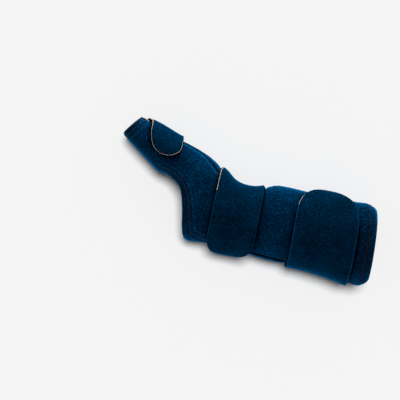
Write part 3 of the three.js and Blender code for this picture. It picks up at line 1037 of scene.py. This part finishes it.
# %% The panels give way beside a strap, and painted shade darkens them there
PRESSED, PRESSED_REACH, SPARED_REACH = 1.0, 2.6, 7
SHADE_NEAR, SHADE_FAR, SHADE_REACH = 0.8, 0.2, 8.0
for piece, normal in ((palm_panel, palm_normal), (back_panel, back_normal)):
    light_paint = piece.data.attributes["raised"].data
    for vertex, out, pile_and_painted_light in zip(piece.data.vertices, normal.reshape(-1, 3), light_paint):
        gap = strap_edges.find(vertex.co)[2] / MM
        near = math.exp(-((gap / PRESSED_REACH) ** 2))
        from_corner = (vertex.co - thumb_corner).length / MM
        pressed = PRESSED * near * (1 - math.exp(-((from_corner / SPARED_REACH) ** 2)))
        vertex.co -= Vector(out * pressed) * MM
        # Painted shade beside the strap's edge.
        pile_and_painted_light.value -= SHADE_NEAR * near + SHADE_FAR * math.exp(-((gap / SHADE_REACH) ** 2))
    piece.data.update()
    print(piece.name, "vertices", len(piece.data.vertices))

# %% [markdown]
# ## Stitching
# A stitch is a short length of thread that dips into the cloth at both ends. It is modelled once, from
# a ball that is drawn out and bent over, and set down along each seam. The seams lie on the finished
# cloth: each place is looked up on the mesh, so no stitch floats or sinks. Real thread is about
# 0.4 mm thick and can't be seen at this distance, so it is drawn at 0.55 to 1.35 mm.

# %% One stitch
STITCH_BEND = 1.2
bpy.ops.object.select_all(action="DESELECT")
bpy.ops.mesh.primitive_uv_sphere_add(segments=6, ring_count=6, radius=0.5)
pattern = bpy.context.object
pattern.rotation_euler = (0, math.pi / 2, 0)
bpy.ops.object.transform_apply(rotation=True)
STITCH = np.array([tuple(vertex.co) for vertex in pattern.data.vertices])
STITCH[:, 2] -= STITCH_BEND * STITCH[:, 0] ** 2
STITCH_FACES = [tuple(face.vertices) for face in pattern.data.polygons]
bpy.data.objects.remove(pattern)
print("faces in a stitch", len(STITCH_FACES))


# %% Sewing along a line on the cloth
FLATTENED, PROUD = 0.6, 0.1


def cloth_tree(piece):
    points = [tuple(vertex.co) for vertex in piece.data.vertices]
    return BVHTree.FromPolygons(points, [tuple(face.vertices) for face in piece.data.polygons])


def even_steps(line, pitch):
    reached = np.concatenate([[0], np.cumsum(np.linalg.norm(np.diff(line, axis=0), axis=1))])
    places = np.arange(0.5 * pitch, reached[-1], pitch)
    return np.stack([np.interp(places, reached, line[:, k]) for k in range(3)], -1)


def sew(name, piece, lines, pitch, length, thick, turn=90.0, alternate=0.0, finish=thread):
    tree = cloth_tree(piece)
    points, faces = [], []
    for line in lines:
        spots = even_steps(line, pitch) + SHIFT
        ways = np.gradient(spots, axis=0)
        for i, (spot, way) in enumerate(zip(spots, ways)):
            hit, normal, _, _ = tree.find_nearest(Vector(spot) * MM)
            along = Vector(way)
            along = (along - normal * along.dot(normal)).normalized()
            across = normal.cross(along)
            angle = math.radians(turn + (alternate if i % 2 else -alternate))
            lead = along * math.cos(angle) + across * math.sin(angle)
            aside = normal.cross(lead)
            shape = STITCH * (length, thick, thick * FLATTENED)
            placed = sum(np.outer(shape[:, k], axis) for k, axis in enumerate((lead, aside, normal)))
            base = len(points)
            points += (placed * MM + np.array(hit + normal * thick * PROUD * MM)).tolist()
            faces += [tuple(base + v for v in face) for face in STITCH_FACES]
    mesh = bpy.data.meshes.new(name)
    mesh.from_pydata(points, [], faces)
    mesh.materials.append(finish)
    seam = bpy.data.objects.new(name, mesh)
    bpy.context.scene.collection.objects.link(seam)
    mesh.polygons.foreach_set("use_smooth", [True] * len(faces))
    print(name, "stitches", len(faces) // len(STITCH_FACES))
    return seam


# The line on a grid of points where a distance from an edge has a value.
def offset_line(grid, distance, value):
    found = []
    for row_points, row_values in zip(grid, distance):
        crossing = np.nonzero((row_values[:-1] - value) * (row_values[1:] - value) <= 0)[0]
        if len(crossing):
            k = crossing[0]
            t = (value - row_values[k]) / (row_values[k + 1] - row_values[k] + 1e-9)
            found.append(row_points[k] * (1 - t) + row_points[k + 1] * t)
    return np.array(found)


# %% The seams
# Each row's pitch, stitch length and thickness are in millimetres, its turn in degrees.
SEWN_FROM = 0.3
hem_rows = np.nonzero(hem_stretch[:, 0] > SEWN_FROM)[0]
palm_rows = slice(hem_rows[0], hem_rows[-1] + 1)
hem_lines = [offset_line(palm_outer[palm_rows], hem_from_side[palm_rows], d) for d in SIDE_ROWS]
seams = [sew("palm_hem_stitches", palm_panel, hem_lines, 2.7, 3.9, 1.35, turn=72)]
back_from_thumb = distance_to(back_face[0], back_face)
for name, piece, grid, reach in (
    ("thumb_hem_stitches", palm_panel, palm_outer, hem_from_thumb),
    ("thumb_hem_back_stitches", back_panel, back_outer, back_from_thumb),
):
    lines = [offset_line(grid.swapaxes(0, 1), reach.swapaxes(0, 1), d) for d in END_ROWS]
    seams.append(sew(name, piece, lines, 2.6, 3.6, 1.3))
back_from_cuff = distance_to(back_face[-1], back_face)
for name, piece, grid, reach in (
    ("cuff_stitches", palm_panel, palm_outer, from_cuff),
    ("cuff_back_stitches", back_panel, back_outer, back_from_cuff),
):
    line = offset_line(grid.swapaxes(0, 1), reach.swapaxes(0, 1), CUFF_ROW)
    seams.append(
        sew(name, piece, [line], 2.4, 2.8, 0.9, turn=60, alternate=30, finish=maroon_thread)
    )
seam_line = (palm_outer[:, -1] + back_outer[:, -1]) / 2
seams.append(sew("side_seam_stitches", palm_panel, [seam_line], 2.6, 3.4, 1.3, alternate=30))

# %% Boxes that hold the straps' sewn ends
BOX_START, BOX_END, BOX_MARGIN = 4, 22, 4
for name, (outer, _, _) in strap_grids.items():
    rows, columns = outer.shape[:2]
    reach = np.cumsum(np.linalg.norm(np.diff(outer[:, columns // 2], axis=0), axis=1))
    near, far = int(np.argmax(reach > BOX_START)), int(np.argmax(reach > BOX_END))
    left_edge, right_edge = BOX_MARGIN, columns - 1 - BOX_MARGIN
    lines = [
        outer[near, left_edge : right_edge + 1],
        outer[near : far + 1, right_edge],
        outer[far, left_edge : right_edge + 1][::-1],
        outer[near : far + 1, left_edge][::-1],
    ]
    seams.append(sew(f"{name}_strap_stitches", strap_pieces[name], lines, 2.6, 2.1, 0.55, turn=0))

# %% [markdown]
# ## The pieces and the solids
# Every piece rides on the one body and is lit with the splint. The solids that the cloth stands for
# are hidden.

# %% Attach the pieces and hide the solids
for piece in [palm_panel, back_panel, *strap_pieces.values(), *hook_pieces.values(), *seams]:
    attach(piece, "root")
    splint.objects.link(piece)
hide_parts("palm_panel")
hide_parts("back_panel")
for name in STRAPS:
    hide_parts(f"{name}_strap")
    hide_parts(f"{name}_strap_hook")


for name in STRAPS:
    grid = strap_grids[name][1]

# %% The box of the part's solids
print("cad", cad_box)
